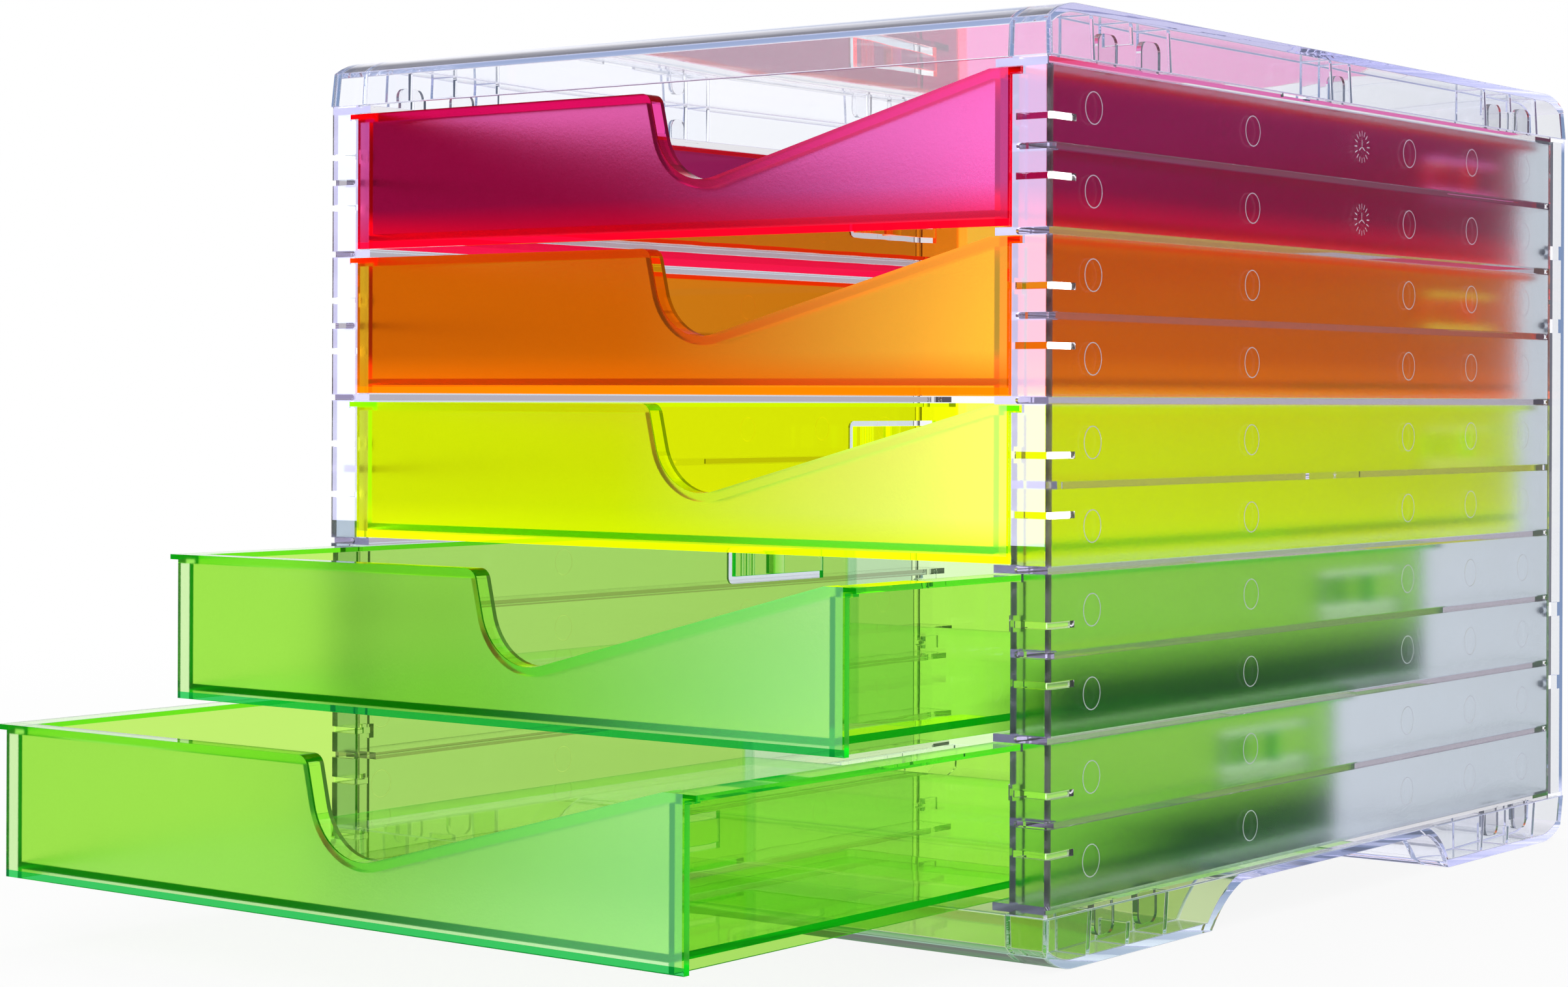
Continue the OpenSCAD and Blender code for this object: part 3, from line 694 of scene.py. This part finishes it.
def make_side_marks(materials):
    lines = materials["mark_lines"]
    rings = [(y, TOP_HALF_LEVEL - row * PITCH / 2) for y in RING_COLUMNS for row in range(RING_ROWS)]
    make_marks("ejector_rings", make_ring_tree(), on_both_sides(FIELD_X, rings),
               Radius=4.4 * MM, Wire=0.18 * MM, Material=lines)
    ticks = make_tick_tree()
    clocks = on_both_sides(FIELD_X, CLOCK_PLACES)
    make_marks("date_mark_ticks", ticks, clocks,
               Inner=3.4 * MM, Outer=5.0 * MM, Wire=0.15 * MM, Count=16, Material=lines)
    make_marks("date_mark_arrows", ticks, clocks,
               Inner=0.2 * MM, Outer=2.2 * MM, Wire=0.15 * MM, Count=3, Material=lines)
    make_marks("gate_stars", ticks, on_both_sides(FIELD_X, GATE_PLACES),
               Inner=0.0, Outer=1.1 * MM, Wire=0.15 * MM, Count=5, Material=lines)
    webs = make_web_tree()
    closed = [(SLOT_START, z) for z in SLOT_HEIGHTS if z > CLOSED_DRAWERS]
    opened = [(SLOT_START, z) for z in SLOT_HEIGHTS if z < CLOSED_DRAWERS]
    for name, slots in (("closed_webs", closed), ("open_webs", opened)):
        make_marks(name, webs, on_both_sides(SLOT_X, slots),
                   Length=11.4 * MM, Height=1.8 * MM, Flatness=0.25, Material=materials[name])


# ---- floor, world and lamps

FLOOR_WHITE = (0.93, 0.93, 0.94)
FLOOR_GLOW = 0.9
FLOOR_ROUGHNESS = 0.8
WORLD_LIGHT = 0.6
BACKDROP_DIRECTION = (-0.605, 0.796, 0.0)
BACKDROP_EDGE = (0.80, 0.97)
DIM_STUDIO = 0.05
FLOOR_FADE = (0.35, 1.1)
FLOOR_SIZE = 12
TOWER_MIDDLE = Vector((0, 0.05, 0.12))
LAMPS = {"key_lamp": ((0.5, -1.5, 1.5), 1.2, 9),
         "top_lamp": ((-0.3, 0.3, 1.8), 1.6, 11),
         "side_lamp": ((1.8, 0.3, 0.8), 1.0, 2)}


def background_share(tree, direction):
    """Three values for a ray in that direction. seen is 1 for a ray that shows the background and 0
    for the light on the object. Only the backdrop behind the object is white in a mirrored ray,
    because the rest of the studio is dim: lost is what such a ray misses of it. The first value,
    share, is what is left of seen."""
    paths = add_node(tree, "ShaderNodeLightPath").outputs
    seen = math_node(tree, "MAXIMUM", paths["Is Camera Ray"], paths["Is Glossy Ray"])
    seen = math_node(tree, "MAXIMUM", seen, paths["Is Transmission Ray"])
    unit = add_node(tree, "ShaderNodeVectorMath", operation="NORMALIZE")
    facing = add_node(tree, "ShaderNodeVectorMath", operation="DOT_PRODUCT")
    facing.inputs[1].default_value = BACKDROP_DIRECTION
    backdrop = add_node(tree, "ShaderNodeMapRange", interpolation_type="SMOOTHSTEP")
    set_inputs(backdrop, From_Min=BACKDROP_EDGE[0], From_Max=BACKDROP_EDGE[1],
               To_Min=1 - DIM_STUDIO, To_Max=0.0)
    tree.links.new(direction, unit.inputs[0])
    tree.links.new(unit.outputs[0], facing.inputs[0])
    tree.links.new(facing.outputs["Value"], backdrop.inputs["Value"])
    mirrored = math_node(tree, "MINIMUM", paths["Glossy Depth"], 1.0)
    lost = math_node(tree, "MULTIPLY", mirrored, backdrop.outputs["Result"])
    share = math_node(tree, "SUBTRACT", seen, math_node(tree, "MULTIPLY", seen, lost))
    return share, seen, lost


def make_world():
    world = bpy.data.worlds.new("studio")
    world.use_nodes = True
    world.cycles.sampling_method = "NONE"
    bpy.context.scene.world = world
    tree = world.node_tree
    direction = add_node(tree, "ShaderNodeTexCoord").outputs["Generated"]
    share, seen = background_share(tree, direction)[:2]
    light = math_node(tree, "MULTIPLY", math_node(tree, "SUBTRACT", 1.0, seen), WORLD_LIGHT)
    strength = math_node(tree, "ADD", light, share)
    tree.links.new(strength, tree.nodes["Background"].inputs["Strength"])
    tree.nodes["Background"].inputs["Color"].default_value = (1, 1, 1, 1)


def make_floor():
    material, tree, shader = new_material("floor_white")
    shader.inputs["Roughness"].default_value = FLOOR_ROUGHNESS
    shader.inputs["Specular IOR Level"].default_value = 0
    glow = add_node(tree, "ShaderNodeEmission")
    place = add_node(tree, "ShaderNodeTexCoord")
    far = add_node(tree, "ShaderNodeVectorMath", operation="LENGTH")
    fade = add_node(tree, "ShaderNodeMapRange", interpolation_type="SMOOTHSTEP")
    set_inputs(fade, From_Min=FLOOR_FADE[0], From_Max=FLOOR_FADE[1], To_Min=FLOOR_GLOW, To_Max=1.0)
    mix = add_node(tree, "ShaderNodeMixShader")
    tree.links.new(place.outputs["Object"], far.inputs[0])
    tree.links.new(far.outputs["Value"], fade.inputs["Value"])
    shown, seen, lost = background_share(tree, place.outputs["Object"])
    share = math_node(tree, "MULTIPLY", shown, fade.outputs["Result"])
    colour = mix_colours(tree, lost, FLOOR_WHITE, (DIM_STUDIO, DIM_STUDIO, DIM_STUDIO))
    tree.links.new(colour, shader.inputs["Base Color"])
    tree.links.new(share, mix.inputs[0])
    tree.links.new(shader.outputs[0], mix.inputs[1])
    tree.links.new(glow.outputs[0], mix.inputs[2])
    tree.links.new(mix.outputs[0], tree.nodes["Material Output"].inputs["Surface"])
    bpy.ops.mesh.primitive_plane_add(size=FLOOR_SIZE, location=(0, 0, 0))
    floor = bpy.context.object
    floor.name = "floor"
    floor.data.materials.append(material)


def make_lamp(name, place, size, power):
    """A square lamp that faces the tower; size is in metres and power in watts."""
    data = bpy.data.lights.new(name, "AREA")
    data.size = size
    data.energy = power
    lamp = bpy.data.objects.new(name, data)
    bpy.context.scene.collection.objects.link(lamp)
    lamp.location = place
    lamp.rotation_euler = (TOWER_MIDDLE - lamp.location).to_track_quat("-Z", "Y").to_euler()


def make_studio():
    scene = bpy.context.scene
    scene.view_settings.view_transform = "Standard"
    scene.cycles.max_bounces = LIGHT_BOUNCES
    scene.cycles.transmission_bounces = LIGHT_BOUNCES
    scene.cycles.glossy_bounces = LIGHT_BOUNCES
    make_world()
    make_floor()
    for name, (place, size, power) in LAMPS.items():
        make_lamp(name, place, size, power)


make_camera()
make_studio()
plastics = make_materials()
make_mouldings(plastics)
make_side_marks(plastics)
